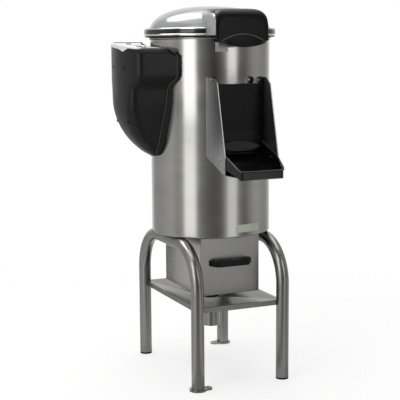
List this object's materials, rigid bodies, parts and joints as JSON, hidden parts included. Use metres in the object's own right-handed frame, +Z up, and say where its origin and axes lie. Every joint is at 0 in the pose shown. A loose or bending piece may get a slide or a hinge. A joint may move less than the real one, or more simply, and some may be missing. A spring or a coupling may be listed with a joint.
{
  "type": "electric potato peeler",
  "caption": "Floor-standing electric peeler: steel drum with abrasive disc, hinged clear lid, discharge door and chute, side control housing, filter drawer and tubular stand.",
  "frame": {"origin": "on the floor, midway between the four legs and on the drum's axis, at the centre of the two floor bolt holes", "axes": "+X to the right seen from the front, front faces -Y, +Z up"},
  "size_m": [0.551, 0.654, 1.236],
  "materials": {
    "brushed_stainless": "vertically brushed, satin",
    "polished_stainless": "polished",
    "stainless_tube": "ground and satin polished",
    "plain_steel": "rolled sheet, pickled",
    "bright_fasteners": "bright",
    "machined_steel": "turned and ground",
    "cast_aluminium": "cast and machined",
    "motor_paint": "semi-gloss enamel on cast iron",
    "black_abs": "moulded, fine grain",
    "black_rubber": "moulded",
    "clear_copolyester": "clear, thermoformed",
    "abrasive_grit": "grit bonded, rough",
    "panel_film": "matte overlay film",
    "label_film": "satin plate",
    "board_laminate": "solder mask",
    "green_cap": "moulded",
    "red_cap": "moulded",
    "white_cap": "moulded",
    "grey_cap": "moulded"
  },
  "bodies": {
    "stand_and_drum": {"left_leg_arch": "stainless_tube", "right_leg_arch": "stainless_tube", "leg_end_caps": "black_abs", "anchor_feet": "stainless_tube", "stand_bolts": "bright_fasteners", "catch_tray": "brushed_stainless", "drain_outlet": "stainless_tube", "base_plate": "brushed_stainless", "base_casing": "brushed_stainless", "drum_shell": "brushed_stainless", "top_collar": "brushed_stainless", "chamber_floor": "plain_steel", "abrasive_liner": "abrasive_grit", "peel_duct": "plain_steel", "filter_box": "brushed_stainless", "drawer_runners": "plain_steel", "left_cheek": "brushed_stainless", "right_cheek": "brushed_stainless", "door_hinge_pins": "bright_fasteners", "door_frame": "black_rubber", "chute": "black_abs", "chute_screws": "bright_fasteners", "chute_support": "brushed_stainless", "lid_catch_bracket": "brushed_stainless", "label_plate": "label_film", "lid_hinge_bracket": "brushed_stainless", "lid_hinge_pin": "bright_fasteners", "water_inlet": "plain_steel", "solenoid_valve": "black_abs", "spray_pipe": "plain_steel", "motor_body": "motor_paint", "motor_plate": "plain_steel", "bearing_housing": "cast_aluminium", "shaft_bearings": "machined_steel", "shaft_seal": "black_rubber", "drive_belt": "black_rubber", "control_housing": "black_abs", "housing_flange": "black_abs", "control_fascia": "panel_film", "circuit_board": "board_laminate", "housing_screws": "bright_fasteners", "cable_gland": "black_abs"},
    "lid": {"lid_dome": "clear_copolyester", "lid_rim": "polished_stainless", "lid_gasket": "black_rubber", "lid_handle": "black_abs", "lid_hinge_leaf": "brushed_stainless"},
    "door": {"discharge_door": "black_abs"},
    "drawer": {"drawer_front": "brushed_stainless", "filter_basket": "plain_steel", "drawer_handle": "black_abs"},
    "peeling_disc": {"abrasive_disc": "abrasive_grit", "main_shaft": "machined_steel", "driven_pulley": "cast_aluminium"},
    "rotor": {"motor_rotor": "machined_steel", "motor_pulley": "cast_aluminium"},
    "start_key": {"start_button": "green_cap"},
    "stop_key": {"stop_button": "red_cap"},
    "pulse_key": {"pulse_button": "white_cap"},
    "timer_key": {"timer_button": "grey_cap"}
  },
  "joints": [
    {"name": "lid_hinge", "type": "hinge", "parent": "stand_and_drum", "child": "lid", "pos_m": [0, 0.236, 1.13], "axis": [-1, 0, 0], "range_deg": [0, 100]},
    {"name": "door_hinge", "type": "hinge", "parent": "stand_and_drum", "child": "door", "pos_m": [0, -0.211, 0.996], "axis": [-1, 0, 0], "range_deg": [0, 80]},
    {"name": "drawer_slide", "type": "slide", "parent": "stand_and_drum", "child": "drawer", "axis": [0, -1, 0], "range_m": [0, 0.25]},
    {"name": "disc_spin", "type": "hinge", "parent": "stand_and_drum", "child": "peeling_disc", "pos_m": [0, 0, 0.75], "axis": [0, 0, 1], "continuous": true},
    {"name": "motor_spin", "type": "hinge", "parent": "stand_and_drum", "child": "rotor", "pos_m": [0, 0.11, 0.62], "axis": [0, 0, 1], "continuous": true},
    {"name": "start_press", "type": "slide", "parent": "stand_and_drum", "child": "start_key", "axis": [0, 0.0837, -0.9965], "range_m": [0, 0.002], "stiffness_N_per_m": 400},
    {"name": "stop_press", "type": "slide", "parent": "stand_and_drum", "child": "stop_key", "axis": [0, 0.0837, -0.9965], "range_m": [0, 0.002], "stiffness_N_per_m": 400},
    {"name": "pulse_press", "type": "slide", "parent": "stand_and_drum", "child": "pulse_key", "axis": [0, 0.0837, -0.9965], "range_m": [0, 0.002], "stiffness_N_per_m": 400},
    {"name": "timer_press", "type": "slide", "parent": "stand_and_drum", "child": "timer_key", "axis": [0, 0.0837, -0.9965], "range_m": [0, 0.002], "stiffness_N_per_m": 400}
  ],
  "couplings": [
    {"joint": "motor_spin", "follows": "disc_spin", "ratio": 2.75}
  ]
}
